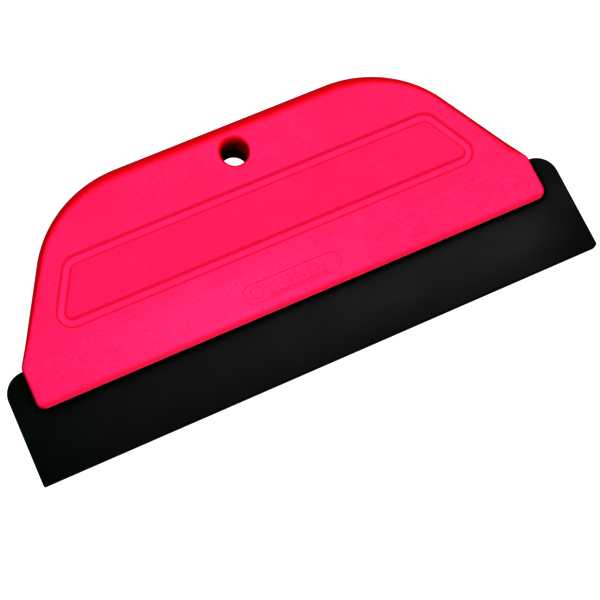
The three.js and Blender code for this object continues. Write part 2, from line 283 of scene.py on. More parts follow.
class Surface:
    """A mesh built from loops of points."""

    def __init__(self):
        self.points = []
        self.faces = []

    def loop(self, points):
        first = len(self.points)
        self.points.extend(map(tuple, points))
        return list(range(first, len(self.points)))

    def bridge(self, low, high):
        """Quads between two loops of one length; they face outwards if high is above low."""
        for i, a in enumerate(low):
            j = (i + 1) % len(low)
            self.faces.append((a, low[j], high[j], high[i]))

    def cover(self, outer, holes=(), lines=(), up=True):
        """Triangles over a convex loop, round its holes, through the loops and open lines given."""
        indices = [*outer]
        edges = [(i, (i + 1) % len(outer)) for i in range(len(outer))]
        for line, closed in [*((hole, True) for hole in holes), *lines]:
            first = len(indices)
            indices.extend(line)
            count = len(line) if closed else len(line) - 1
            edges.extend((first + i, first + (i + 1) % len(line)) for i in range(count))
        flat = np.array([self.points[i][:2] for i in indices])
        made = delaunay_2d_cdt([Vector(p) for p in flat], edges, [], INSIDE_OUTLINE, MERGE_DISTANCE)
        source = [indices[origins[0]] for origins in made[3]]
        places = np.array([self.points[i][:2] for i in source])
        middles = np.array([places[list(face)].mean(axis=0) for face in made[2]])
        dropped = np.zeros(len(middles), bool)
        for hole in holes:
            dropped |= inside(middles, np.array([self.points[i][:2] for i in hole]))
        for face, skip in zip(made[2], dropped):
            a, b, c = (places[i] for i in face)
            area = (b[0] - a[0]) * (c[1] - a[1]) - (b[1] - a[1]) * (c[0] - a[0])
            if not skip:
                corners = [source[i] for i in face]
                self.faces.append(tuple(corners if (area > 0) == up else reversed(corners)))

    def mirrored(self):
        """The same surface on the other side of the tool's mid-plane."""
        other = Surface()
        other.points = [(x, y, -z) for x, y, z in self.points]
        other.faces = [tuple(reversed(face)) for face in self.faces]
        return other

    def add(self, other):
        """Takes in a copy of another surface."""
        first = len(self.points)
        self.points.extend(other.points)
        self.faces.extend(tuple(first + i for i in face) for face in other.faces)

    def object(self, name):
        mesh = bpy.data.meshes.new(name)
        mesh.from_pydata(self.points, [], self.faces)
        made = bpy.data.objects.new(name, mesh)
        bpy.context.scene.collection.objects.link(made)
        return made


def prism(loop, low, high):
    """A closed prism over an anticlockwise loop; low and high are heights or one for each point."""
    surface = Surface()
    below = surface.loop(with_z(loop, low))
    above = surface.loop(with_z(loop, high))
    surface.bridge(below, above)
    surface.faces.append(tuple(above))
    surface.faces.append(tuple(reversed(below)))
    return surface


def cut_or_join(target, tool, operation):
    """Applies one boolean and removes the tool."""
    modifier = target.modifiers.new(operation, "BOOLEAN")
    modifier.operation = operation
    modifier.solver = "MANIFOLD"
    modifier.object = tool
    graph = bpy.context.evaluated_depsgraph_get()
    result = bpy.data.meshes.new_from_object(target.evaluated_get(graph))
    target.modifiers.remove(modifier)
    target.data = result
    bpy.data.objects.remove(tool)


def smooth(piece, sharp_angle):
    """Smooth shading, with edges sharper than the angle kept crisp."""
    mesh = piece.data
    mesh.shade_smooth()
    mesh.set_sharp_from_angle(angle=sharp_angle)


def place(piece):
    """Lays a piece drawn in the tool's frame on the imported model."""
    piece.data.transform(TOOL)
    piece.data.update()
    return piece


# ---- Handle form --------------------------------------------------------------------------------

HALF_LENGTH = HANDLE_LENGTH / 2
PALM_ARC_START = HANDLE_HEIGHT - PALM_CORNER * (1 - math.sin(SIDE_LEAN))


def side_x(y, margin=0.0):
    """x of the leaning side at height y, moved inwards by a margin."""
    return HALF_LENGTH - (y - KINK_Y) * math.tan(SIDE_LEAN) - margin / math.cos(SIDE_LEAN)


def face_height(y):
    """Level on the jaw, then a wedge up to the palm, with a soft crease between them."""
    above = np.asarray(y, float) - CREASE_Y
    soft = (above + CREASE_BLEND) ** 2 / (4 * CREASE_BLEND)
    climb = np.where(above > CREASE_BLEND, above, np.where(above < -CREASE_BLEND, 0.0, soft))
    return JAW_HALF_THICKNESS + WEDGE_SLOPE * climb


def edge_radius(y):
    """Rounding of the rim: small on the jaw, larger up the sides, a full roll at the palm."""
    side = np.clip((y - CREASE_Y) / (PALM_ARC_START - CREASE_Y), 0, 1)
    palm = np.clip((y - PALM_ARC_START) / (HANDLE_HEIGHT - PALM_ARC_START), 0, 1)
    return JAW_EDGE + (SIDE_EDGE - JAW_EDGE) * side + (PALM_EDGE - SIDE_EDGE) * palm ** 2


def edge_drop(y):
    """How far the rounding drops: a small lip on the jaw, almost down to the seam above it."""
    share = np.clip((y - CREASE_Y) / (FULL_ROUND_Y - CREASE_Y), 0, 1)
    full = face_height(y) - SEAM_FLAT
    return JAW_EDGE_DROP + (full - JAW_EDGE_DROP) * share * share * (3 - 2 * share)


def edge_ring(outline, stage, guard=0.0):
    """One ring of the rim's rounding: stage 0 is the side wall and stage 1 is the face."""
    angle = stage * math.pi / 2
    reach, drop = edge_radius(outline[:, 1]), edge_drop(outline[:, 1])
    ring = moved_out(outline, -reach * (1 - math.cos(angle)) - guard)
    return with_z(ring, face_height(ring[:, 1]) - drop * (1 - math.sin(angle)))


def broken_at_hole(ring):
    """A ring without the points that fall in the hang hole, starting just past the gap."""
    reach = HANG_HOLE_RADIUS + HANG_HOLE_RIM + 2 * GUARD
    kept = np.hypot(ring[:, 0], ring[:, 1] - HANG_HOLE_Y) > reach
    if kept.all():
        return ring, True
    first = next(i for i in range(len(kept)) if kept[i] and not kept[i - 1])
    return np.roll(ring, -first, axis=0)[:kept.sum()], False


def hole_ring(bore, spread, drop):
    """A ring round the hang hole, a hair below the face or the start of the palm's roll."""
    ring = moved_out(bore, spread)
    onto_roll = np.clip(ring[:, 1] - (HANDLE_HEIGHT - PALM_EDGE), 0, None) / PALM_EDGE
    fall = edge_drop(HANDLE_HEIGHT) * (1 - np.sqrt(1 - onto_roll ** 2))
    return with_z(ring, face_height(ring[:, 1]) - HANG_HOLE_SINK - fall - drop)


def groove_loops():
    """Loops that follow the channel's section round its trapezium."""
    lean_in = (GROOVE_TOP_Y - GROOVE_BOTTOM_Y) * math.tan(SIDE_LEAN)
    centre_line = symmetric_outline([
        (GROOVE_BOTTOM_HALF_LENGTH, GROOVE_BOTTOM_Y, GROOVE_BOTTOM_CORNER),
        (GROOVE_BOTTOM_HALF_LENGTH - lean_in, GROOVE_TOP_Y, GROOVE_TOP_CORNER),
    ])
    wall = np.linspace(GROOVE_HALF_FLOOR, GROOVE_HALF_MOUTH, GROOVE_WALL_POINTS)
    wall = np.append(wall, GROOVE_HALF_MOUTH + GUARD)
    across = np.concatenate((-wall[::-1], [0.0], wall))
    climb = (np.abs(across) - GROOVE_HALF_FLOOR) / (GROOVE_HALF_MOUTH - GROOVE_HALF_FLOOR)
    climb = np.clip(climb, 0, 1)
    depth = GROOVE_DEPTH * (1 - climb ** 2 * (3 - 2 * climb))
    for offset, drop in zip(across, depth):
        loop = moved_out(centre_line, offset)
        yield with_z(loop, face_height(loop[:, 1]) - drop)


def rounded_bar(left, right, middle_y, height):
    """Outline of a bar with round ends."""
    low, high = middle_y - height / 2, middle_y + height / 2
    corner = min(right - left, height) / 2 - HAIR
    return rounded_outline([
        (right, low, corner), (right, high, corner), (left, high, corner), (left, low, corner),
    ], curve_step=RELIEF_CURVE_STEP)


def badge_relief():
    """Outlines of the plain relief in the badge: a disc, a row of bars and a line under it."""
    yield circle(DISC_RADIUS, DISC_X, BADGE_Y, DISC_STEPS)
    for i in range(BAR_COUNT):
        left = BAR_START_X + i * BAR_PITCH - BAR_WIDTH / 2
        yield rounded_bar(left, left + BAR_WIDTH, BAR_Y, BAR_HEIGHT)
    last_bar_x = BAR_START_X + (BAR_COUNT - 1) * BAR_PITCH
    yield rounded_bar(BAR_START_X - BAR_WIDTH, last_bar_x + BAR_WIDTH, LINE_Y, LINE_HEIGHT)


def badge_loops():
    """A shallow stadium-shaped recess, with the relief raised from its floor."""
    radius = BADGE_HEIGHT / 2
    outline = symmetric_outline([
        (BADGE_LENGTH / 2, BADGE_Y - radius, radius - HAIR),
        (BADGE_LENGTH / 2, BADGE_Y + radius, radius - HAIR),
    ], curve_step=BADGE_CURVE_STEP)
    floor = JAW_HALF_THICKNESS - BADGE_DEPTH
    for share in BADGE_WALL_SHARES:
        drop = BADGE_DEPTH * share ** 2 * (3 - 2 * share)
        yield with_z(moved_out(outline, -BADGE_WALL * share), JAW_HALF_THICKNESS - drop)
    yield with_z(moved_out(outline, GUARD), JAW_HALF_THICKNESS)
    yield with_z(moved_out(outline, -BADGE_WALL - GUARD), floor)
    for shape in badge_relief():
        for outset, rise in RELIEF_SECTION:
            yield with_z(moved_out(shape, outset), floor + RELIEF_HEIGHT * rise)


def crease_lines():
    """Rows along the crease, so that it turns softly."""
    for share in CREASE_ROWS:
        y = CREASE_Y + share * CREASE_BLEND
        reach = min(HALF_LENGTH, side_x(y)) - CREASE_END_MARGIN
        x = np.linspace(-reach, reach, CREASE_POINTS)
        row = np.column_stack((x, np.full_like(x, y)))
        yield with_z(row, face_height(row[:, 1]))


def half_handle(with_badge):
    """The front half of the handle, with its hang hole, before it is hollowed."""
    outline = symmetric_outline([
        (HALF_LENGTH, 0.0, JAW_CORNER),
        (HALF_LENGTH, KINK_Y, KINK_CORNER),
        (side_x(HANDLE_HEIGHT), HANDLE_HEIGHT, PALM_CORNER),
    ])
    surface = Surface()
    seam = surface.loop(with_z(moved_out(outline, -SEAM_CHAMFER), SEAM_HALF_GAP))
    below = surface.loop(with_z(outline[:, :2], SEAM_HALF_GAP + SEAM_CHAMFER))
    surface.bridge(seam, below)
    for step in range(EDGE_STEPS_BRIDGED + 1):
        ring = surface.loop(edge_ring(outline, step / EDGE_STEPS))
        surface.bridge(below, ring)
        below = ring
    free_steps = range(EDGE_STEPS_BRIDGED + 1, EDGE_STEPS + 1)
    rings = [edge_ring(outline, step / EDGE_STEPS) for step in free_steps]
    rings.append(edge_ring(outline, 1.0, guard=GUARD))

    bore = circle(HANG_HOLE_RADIUS, 0.0, HANG_HOLE_Y, HOLE_STEPS)
    bore_foot = surface.loop(with_z(bore[:, :2], SEAM_HALF_GAP))
    low = bore_foot
    for angle in np.linspace(0, math.pi / 2, HOLE_RIM_RINGS):
        spread = HANG_HOLE_RIM * (1 - math.cos(angle))
        high = surface.loop(hole_ring(bore, spread, HANG_HOLE_RIM * (1 - math.sin(angle))))
        surface.bridge(high, low)
        low = high

    lines = [broken_at_hole(ring) for ring in rings]
    lines += [(hole_ring(bore, HANG_HOLE_RIM + GUARD, 0.0), True)]
    lines += [(points, True) for points in groove_loops()]
    lines += [(points, True) for points in (badge_loops() if with_badge else ())]
    lines += [(points, False) for points in crease_lines()]
    surface.cover(below, [low], [(surface.loop(points), closed) for points, closed in lines])
    surface.cover(seam, [bore_foot], up=False)
    return surface


# ---- Inside of the handle -----------------------------------------------------------------------

def pocket_prisms():
    """The hollows between the ribs, as prisms that follow the wedge from wall to wall."""
    outline = symmetric_outline([
        (side_x(WEB_TOP_Y, POCKET_SIDE_MARGIN), WEB_TOP_Y, POCKET_FOOT_CORNER),
        (side_x(POCKET_TOP_Y, POCKET_SIDE_MARGIN), POCKET_TOP_Y, POCKET_CORNER),
    ], curve_step=POCKET_CURVE_STEP)[:, :2]
    sides = (-HALF_LENGTH, *RIB_X, HALF_LENGTH)
    for left, right in zip(sides, sides[1:]):
        loop = clipped(outline, left + RIB_HALF_THICKNESS, right - RIB_HALF_THICKNESS)
        yield prism(loop, -OVERCUT, face_height(loop[:, 1]) - WALL)


def clipped(loop, left, right):
    """The stretch of a convex loop between two upright lines."""
    for limit, sign in ((left, 1), (right, -1)):
        kept = []
        for here, after in zip(loop, np.roll(loop, -1, axis=0)):
            here_in = sign * (here[0] - limit) >= 0
            after_in = sign * (after[0] - limit) >= 0
            if here_in:
                kept.append(here)
            if here_in != after_in:
                kept.append(here + (after - here) * (limit - here[0]) / (after[0] - here[0]))
        loop = np.array(kept)
    return loop


def hang_hole_tube():
    """The solid that the pockets leave round the hang hole, longer than they are deep."""
    tube = circle(HANG_HOLE_RADIUS + HANG_HOLE_WALL, 0.0, HANG_HOLE_Y, HOLE_STEPS)
    return prism(tube[:, :2], -2 * OVERCUT, HANG_HOLE_TUBE_TOP)


def slot_prism():
    """The blade's slot, flared a little at the mouth."""
    section = np.array((
        (SLOT_START, SLOT_HALF + SLOT_FLARE),
        (-HAIR, SLOT_HALF + SLOT_FLARE),
        (SLOT_FLARE, SLOT_HALF),
        (SLOT_TOP, SLOT_HALF),
    ))
    section = np.vstack((section, (section * (1, -1))[::-1]))
    surface = prism(section[::-1], -BLADE_WIDTH, BLADE_WIDTH)
    surface.points = [(along, y, z) for y, z, along in surface.points]
    return surface


def pegs(clearance):
    """The rear shell's pegs, or with a clearance the holes that take them."""
    surface = Surface()
    for x in BLADE_PEG_X:
        peg = circle(BLADE_PEG_RADIUS + clearance, x, BLADE_PEG_Y, PEG_STEPS)
        surface.add(prism(peg[:, :2], BLADE_PEG_START, BLADE_PEG_END + clearance))
    for x in RIM_PEG_X:
        peg = circle(RIM_PEG_RADIUS + clearance, x, RIM_PEG_Y, PEG_STEPS)
        surface.add(prism(peg[:, :2], RIM_PEG_START, RIM_PEG_END + clearance))
    return surface


def hollow(shell, side):
    """Cuts the ribbed pockets and the blade's slot out of a shell."""
    cutter = Surface()
    for pocket in pocket_prisms():
        cutter.add(pocket)
    pockets = (cutter if side > 0 else cutter.mirrored()).object("pockets")
    tube = hang_hole_tube()
    cut_or_join(pockets, (tube if side > 0 else tube.mirrored()).object("tube"), "DIFFERENCE")
    cut_or_join(shell, pockets, "DIFFERENCE")
    cut_or_join(shell, slot_prism().object("slot"), "DIFFERENCE")


def front_shell():
    shell = half_handle(with_badge=True).object("front_shell")
    hollow(shell, 1)
    cut_or_join(shell, pegs(PEG_CLEARANCE).object("sockets"), "DIFFERENCE")
    return shell


def rear_shell():
    shell = half_handle(with_badge=False).mirrored().object("rear_shell")
    hollow(shell, -1)
    cut_or_join(shell, pegs(0.0).object("pegs"), "UNION")
    return shell


# ---- Blade --------------------------------------------------------------------------------------

def rubber_blade():
    """One strip of rubber, with rows of points across it where it bends."""
    half = BLADE_THICKNESS / 2
    outline = rounded_outline([
        (BLADE_WIDTH / 2, BLADE_BOTTOM, BLADE_RIGHT_CORNER),
        (BLADE_WIDTH / 2, BLADE_TOP, BLADE_TOP_CORNER),
        (-BLADE_WIDTH / 2, BLADE_TOP, BLADE_TOP_CORNER),
        (-BLADE_WIDTH / 2, BLADE_BOTTOM, BLADE_LEFT_CORNER),
    ], curve_step=BLADE_CURVE_STEP, straight_step=FLEX_ROW_STEP)
    surface = Surface()
    rings = []
    for angle in np.linspace(-math.pi / 2, math.pi / 2, BLADE_EDGE_RINGS):
        ring = moved_out(outline, BLADE_EDGE * (math.cos(angle) - 1))
        z = (half - BLADE_EDGE) * np.sign(angle) + BLADE_EDGE * math.sin(angle)
        rings.append(surface.loop(with_z(ring, z)))
    for low, high in zip(rings, rings[1:]):
        surface.bridge(low, high)
    holes = []
    for x in BLADE_PEG_X:
        hole = circle(BLADE_PEG_RADIUS + PEG_CLEARANCE, x, BLADE_PEG_Y, PEG_STEPS)[:, :2]
        low, high = (surface.loop(with_z(hole, z)) for z in (-half, half))
        surface.bridge(high, low)
        holes.append((low, high))
    reach = BLADE_WIDTH / 2 - BLADE_EDGE - BLADE_ROW_MARGIN
    x = np.linspace(-reach, reach, BLADE_ROW_POINTS)
    heights = np.arange(FLEX_START_Y + 2 * FLEX_ROW_STEP, FLEX_END_Y - FLEX_ROW_STEP, -FLEX_ROW_STEP)
    for side, z in enumerate((-half, half)):
        lines = (np.column_stack((x, np.full_like(x, y))) for y in heights)
        rows = [(surface.loop(with_z(line, z)), False) for line in lines]
        surface.cover(rings[-side], [pair[side] for pair in holes], rows, up=bool(side))
    return surface.object("blade")


# ---- Shader nodes -------------------------------------------------------------------------------

ALONG = (1.0, 0.0, 0.0)
UP = (0.0, 1.0, 0.0)
DOWN = (0.0, -1.0, 0.0)
OUT = (0.0, 0.0, 1.0)


def new_material(name):
    material = bpy.data.materials.new(name)
    material.use_nodes = True
    tree = material.node_tree
    return material, tree, tree.nodes["Principled BSDF"]


def noise(tree, size_mm, detail=2.0, roughness=0.5):
    """A noise over the object whose blotches are about size_mm across."""
    coordinates = tree.nodes.new("ShaderNodeTexCoord")
    node = tree.nodes.new("ShaderNodeTexNoise")
    node.inputs["Scale"].default_value = 1 / (size_mm * MM)
    node.inputs["Detail"].default_value = detail
    node.inputs["Roughness"].default_value = roughness
    tree.links.new(coordinates.outputs["Object"], node.inputs["Vector"])
    return node.outputs["Fac"]


def remap(tree, value, from_low, from_high, to_low, to_high):
    node = tree.nodes.new("ShaderNodeMapRange")
    for name, number in (
        ("From Min", from_low), ("From Max", from_high), ("To Min", to_low), ("To Max", to_high),
    ):
        node.inputs[name].default_value = number
    tree.links.new(value, node.inputs["Value"])
    return node.outputs["Result"]


def soft_step(tree, value, zero_at, one_at):
    """0 to 1 as the value goes from one limit to the other, with soft ends."""
    result = remap(tree, value, zero_at, one_at, 0.0, 1.0)
    result.node.interpolation_type = "SMOOTHSTEP"
    return result


def mix_colours(tree, share, first, second):
    """first and second are colours, or sockets that give one."""
    node = tree.nodes.new("ShaderNodeMix")
    node.data_type = "RGBA"
    tree.links.new(share, node.inputs["Factor"])
    for socket, colour in ((node.inputs[6], first), (node.inputs[7], second)):
        if isinstance(colour, tuple):
            socket.default_value = (*colour, 1.0)
        else:
            tree.links.new(colour, socket)
    return node.outputs[2]


def tinted(tree, colour, tints):
    """A colour with tints laid over it in turn; each has a mask and the colour where that is 1."""
    for mask, tint in tints:
        colour = mix_colours(tree, mask, colour, tint)
    return colour


def maths(tree, operation, *values):
    """values are numbers, or sockets that give one."""
    node = tree.nodes.new("ShaderNodeMath")
    node.operation = operation
    for socket, value in zip(node.inputs, values):
        if isinstance(value, float):
            socket.default_value = value
        else:
            tree.links.new(value, socket)
    return node.outputs[0]


def product(tree, first, *others):
    for other in others:
        first = maths(tree, "MULTIPLY", first, other)
    return first


def larger(tree, first, second):
    return maths(tree, "MAXIMUM", first, second)


def bump(tree, height, depth_mm, normal=None):
    node = tree.nodes.new("ShaderNodeBump")
    node.inputs["Distance"].default_value = depth_mm * MM
    tree.links.new(height, node.inputs["Height"])
    if normal is not None:
        tree.links.new(normal, node.inputs["Normal"])
    return node.outputs["Normal"]


def specks(tree, spacing_mm, radius_mm):
    """1 in small round specks scattered through the material, 0 elsewhere."""
    coordinates = tree.nodes.new("ShaderNodeTexCoord")
    node = tree.nodes.new("ShaderNodeTexVoronoi")
    node.inputs["Scale"].default_value = 1 / (spacing_mm * MM)
    tree.links.new(coordinates.outputs["Object"], node.inputs["Vector"])
    reach = radius_mm / spacing_mm
    return remap(tree, node.outputs["Distance"], reach, reach * 0.4, 0.0, 1.0)


def facing(tree, direction):
    """How far the surface faces a direction of the tool's frame, from -1 to 1."""
    coordinates = tree.nodes.new("ShaderNodeTexCoord")
    node = tree.nodes.new("ShaderNodeVectorMath")
    node.operation = "DOT_PRODUCT"
    node.inputs[1].default_value = (TOOL.to_3x3() @ Vector(direction)).normalized()
    tree.links.new(coordinates.outputs["Normal"], node.inputs[0])
    return node.outputs["Value"]


def distance_along(tree, direction):
    """Distance from the tool's origin along a direction of its frame, in millimetres."""
    along = (TOOL.to_3x3() @ Vector(direction)).normalized() / MM
    coordinates = tree.nodes.new("ShaderNodeTexCoord")
    node = tree.nodes.new("ShaderNodeVectorMath")
    node.operation = "DOT_PRODUCT"
    node.inputs[1].default_value = along
    tree.links.new(coordinates.outputs["Object"], node.inputs[0])
    return maths(tree, "SUBTRACT", node.outputs["Value"], along.dot(TOOL.translation))


def open_air(tree, distance_mm, closed, clear):
    """0 in sheltered corners and 1 in the open, from how much of the sky a point sees."""
    node = tree.nodes.new("ShaderNodeAmbientOcclusion")
    node.inputs["Distance"].default_value = distance_mm * MM
    return soft_step(tree, node.outputs["AO"], closed, clear)


# ---- Where the looks change ---------------------------------------------------------------------
# Each pair says where a mask is 0 and where it is 1.

# Places up and along the tool, in mm
ABOVE_JAW = (KINK_Y - 1, KINK_Y + 5)
NEAR_JAW = (CREASE_Y + 4, CREASE_Y)
ON_JAW = (CREASE_Y + 0.8, CREASE_Y - 0.8)
ABOVE_CREASE = (CREASE_Y + 2, CREASE_Y + 4)
BELOW_PALM = (GROOVE_TOP_Y + 5, GROOVE_TOP_Y + 4)
ABOVE_GROOVE = (GROOVE_TOP_Y + 4, GROOVE_TOP_Y + 6)
ABOVE_LIP = (2.5, 4.0)
ON_LIP = (2.7, 0.4)
ON_LIP_EDGE = (0.5, 0.0)
# where the painted pool of light lies, along and up the tool
PALE_FROM_LEFT, PALE_FROM_RIGHT, PALE_FROM_TOP = (-105.0, -35.0), (55.0, -25.0), (32.0, 12.0)
RIGHT_HALF = (0.0, 20.0)
BLADE_LEFT_END, BLADE_RIGHT_END = (-86.0, -114.0), (94.0, 116.0)
BLADE_WORKING_STRIP = (-12.0, -27.0)

# Distances inwards from the leaning side, in mm
NEAR_SIDE = (8.0, 6.0)
OFF_RIM = (7.0, 8.0)
RIGHT_SIDE = (4.6, 2.8)
RIGHT_RIM = (3.2, 0.8)
PANEL_INSET, PANEL_BLUR = 14.8, 0.5

# Round the hang hole, and from front to back in its bore, in mm
HOLE_MASK_MARGIN, HOLE_MASK_BLUR = 1.0, 0.6
DEEP_IN_BORE = (3.0, -2.5)

# How squarely a surface faces out of the front or the rear, from 1 down to 0 on the rim
STEEP = (0.95, 0.65)
GROOVE_WALL_SLOPE = (0.995, 0.72)
HOLE_RIM_SLOPE = (0.96, 0.50)
BORE_SLOPE = (0.60, 0.25)

# How squarely it faces the working edge, or a direction that leans over the rim
DOWNWARD_SLOPE = (0.08, 0.6)
PALM_ROLL = {"lean": (-0.28, -0.5), "slopes": (0.87, 0.50)}
RIGHT_ROLL = {"lean": (-0.5, 0.0), "slopes": (0.85, 0.50)}
ROLL_OUT = 0.84


def rolled_over(tree):
    """1 where the rim has rolled well over towards the palm or towards +x, on either face."""
    masks = []
    for roll in (PALM_ROLL, RIGHT_ROLL):
        rear, front = (facing(tree, (*roll["lean"], side * ROLL_OUT)) for side in (-1, 1))
        masks.append(soft_step(tree, larger(tree, rear, front), *roll["slopes"]))
    return larger(tree, *masks)


def inside_side_line(tree):
    """Distance inwards from the nearer leaning side, in millimetres."""
    across = product(tree, maths(tree, "ABSOLUTE", distance_along(tree, ALONG)), math.cos(SIDE_LEAN))
    upwards = product(tree, distance_along(tree, UP), math.sin(SIDE_LEAN))
    line = HALF_LENGTH * math.cos(SIDE_LEAN) + KINK_Y * math.sin(SIDE_LEAN)
    return maths(tree, "SUBTRACT", line, maths(tree, "ADD", across, upwards))


def painted_rim_shade(tree, y):
    """1 on the rims where shade is painted: the palm's roll and the sides."""
    near_side = remap(tree, inside_side_line(tree), *NEAR_SIDE, 0.0, 1.0)
    above_groove = remap(tree, y, *ABOVE_GROOVE, 0.0, 1.0)
    near_rim = larger(tree, near_side, above_groove)
    return product(tree, rolled_over(tree), near_rim, soft_step(tree, y, *ABOVE_JAW))


def right_strip(tree, y, limits):
    """1 along the right-hand side, within limits that are distances inside its line."""
    strip = soft_step(tree, inside_side_line(tree), *limits)
    right_half = soft_step(tree, distance_along(tree, ALONG), *RIGHT_HALF)
    return product(tree, strip, right_half, soft_step(tree, y, *ABOVE_JAW))


def near_hole(tree, y):
    """1 on the hang hole's rim and bore."""
    x = distance_along(tree, ALONG)
    rise = maths(tree, "SUBTRACT", y, HANG_HOLE_Y)
    squares = maths(tree, "ADD", product(tree, x, x), product(tree, rise, rise))
    reach = HANG_HOLE_RADIUS + HANG_HOLE_RIM + HOLE_MASK_MARGIN
    return remap(tree, squares, reach ** 2, (reach - HOLE_MASK_BLUR) ** 2, 0.0, 1.0)


def on_panel(tree, y):
    """1 on the part of either face that holds the channel, away from the rims and the jaw."""
    inner = soft_step(tree, inside_side_line(tree), *OFF_RIM)
    below_palm, above_crease = (soft_step(tree, y, *limits) for limits in (BELOW_PALM, ABOVE_CREASE))
    return product(tree, inner, below_palm, above_crease)


def inner_panel(tree, y):
    """1 on the field that the channel runs round, on either face."""
    low, high = GROOVE_BOTTOM_Y + GROOVE_HALF_MOUTH, GROOVE_TOP_Y - GROOVE_HALF_MOUTH
    inset = inside_side_line(tree)
    side = soft_step(tree, inset, PANEL_INSET - PANEL_BLUR, PANEL_INSET + PANEL_BLUR)
    above = soft_step(tree, y, low - PANEL_BLUR, low + PANEL_BLUR)
    below = soft_step(tree, y, high + PANEL_BLUR, high - PANEL_BLUR)
    return product(tree, side, product(tree, above, below))


def groove_floor(tree, y):
    """1 as deep below either face as the channel's floor."""
    climb = product(tree, maths(tree, "SUBTRACT", y, CREASE_Y), WEDGE_SLOPE)
    face = maths(tree, "ADD", climb, JAW_HALF_THICKNESS)
    sunk = maths(tree, "SUBTRACT", face, maths(tree, "ABSOLUTE", distance_along(tree, OUT)))
    return soft_step(tree, sunk, GROOVE_DEPTH * 0.75, GROOVE_DEPTH)


def pale_patch(tree, y):
    """A painted pool of light on the jaw and the foot of the wedge, left of the middle."""
    x = distance_along(tree, ALONG)
    across = product(tree, soft_step(tree, x, *PALE_FROM_LEFT), soft_step(tree, x, *PALE_FROM_RIGHT))
    return product(tree, across, soft_step(tree, y, *PALE_FROM_TOP), PALE_SHARE)


def sheltered(tree, y, level):
    """1 where shade is painted: in the corners of the jaw and deep in the hang hole."""
    hole = near_hole(tree, y)
    near_jaw = soft_step(tree, y, *NEAR_JAW)
    closed = maths(tree, "SUBTRACT", 1.0, open_air(tree, distance_mm=14, closed=0.03, clear=0.40))
    closed = product(tree, closed, larger(tree, hole, near_jaw))
    bore = product(tree, hole, remap(tree, level, *BORE_SLOPE, 0.0, 1.0))
    bore = product(tree, bore, soft_step(tree, distance_along(tree, OUT), *DEEP_IN_BORE))
    return larger(tree, closed, bore)


# ---- Materials; colours are linear red, green and blue -------------------------------------------

PINK = {
    "dark cloud": (0.93, 0.0203, 0.095),
    "light cloud": (0.97, 0.0312, 0.136),
    # painted light: the level jaw, paler than the wedge above it
    "jaw": (0.97, 0.0345, 0.1470),
    "mottle": (0.93, 0.0235, 0.106),
    "grain": (0.90, 0.0212, 0.099),
    # painted light: a pool of light on the jaw and the wedge's foot, left of the middle
    "pale patch": (0.97, 0.0508, 0.187),
    "speck": (0.42, 0.006, 0.038),
    "stipple": (0.90, 0.0178, 0.091),
    # painted light: the channel's floor, paler than the face round it
    "groove floor": (0.96, 0.0310, 0.132),
    # painted shade on the slopes, the channel's walls, what faces the working edge and the jaw's lip
    "steep": (0.47, 0.0170, 0.082),
    "groove wall": (0.54, 0.0148, 0.070),
    "facing down": (0.40, 0.0135, 0.066),
    "jaw lip": (0.48, 0.0150, 0.064),
    # painted light: a paler line along the foot of the jaw's lip
    "jaw lip edge": (0.66, 0.0520, 0.140),
    # painted shade: the right-hand side, the rolled-over rims and the hang hole's rim
    "right side": (0.42, 0.013, 0.056),
    "rim shade": (0.50, 0.0025, 0.018),
    "right rim": (0.33, 0.002, 0.016),
    # painted shade, near black, in the jaw's corners and deep in the hang hole
    "sheltered": (0.030, 0.0002, 0.0008),
}
# shares of the painted light on the jaw and in the pale patch
JAW_SHARE = 0.8
PALE_SHARE = 0.4
PLASTIC_SPECULAR = 0.25

BLACK = {
    "dark cloud": (0.0031, 0.0040, 0.0035),
    "light cloud": (0.0045, 0.0052, 0.0048),
    "dust": (0.035, 0.035, 0.034),
    "left end": (0.0020, 0.0070, 0.0044),
    # painted shadow on the rubber next to the handle
    "sheltered": (0.0002, 0.0002, 0.0002),
}
RUBBER_SPECULAR = 0.34
RUBBER_SHINE = 0.38
WORKING_STRIP_DULLNESS = 0.22
LEFT_END_DULLNESS = 0.38
RIGHT_END_DULLNESS = 0.36

WHITE = (1.0, 1.0, 1.0, 1.0)
FLOOR_GREY = (0.05, 0.05, 0.05, 1.0)
FLOOR_GLOW = 0.62


def moulded_pink(tree, y):
    """Cloudy, grained colour with dark specks, and a fine stipple inside the channel, with painted
    light on the jaw and in a pale patch.
    """
    clouds = soft_step(tree, noise(tree, 30, detail=4, roughness=0.6), 0.33, 0.67)
    # painted light: the jaw drawn paler than the wedge above it
    jaw = product(tree, soft_step(tree, y, *ON_JAW), JAW_SHARE)
    mottle = remap(tree, noise(tree, 6, detail=3, roughness=0.6), 0.35, 0.65, 0.0, 0.5)
    grain = remap(tree, noise(tree, 1.4, detail=3, roughness=0.6), 0.33, 0.67, 0.0, 1.0)
    stipple = remap(tree, noise(tree, 1.0, detail=3, roughness=0.6), 0.35, 0.65, 0.1, 1.0)
    colour = mix_colours(tree, clouds, PINK["dark cloud"], PINK["light cloud"])
    return tinted(tree, colour, (
        (jaw, PINK["jaw"]),
        (mottle, PINK["mottle"]),
        (grain, PINK["grain"]),
        (pale_patch(tree, y), PINK["pale patch"]),
        (specks(tree, spacing_mm=2.7, radius_mm=0.40), PINK["speck"]),
        (product(tree, inner_panel(tree, y), stipple), PINK["stipple"]),
    ))


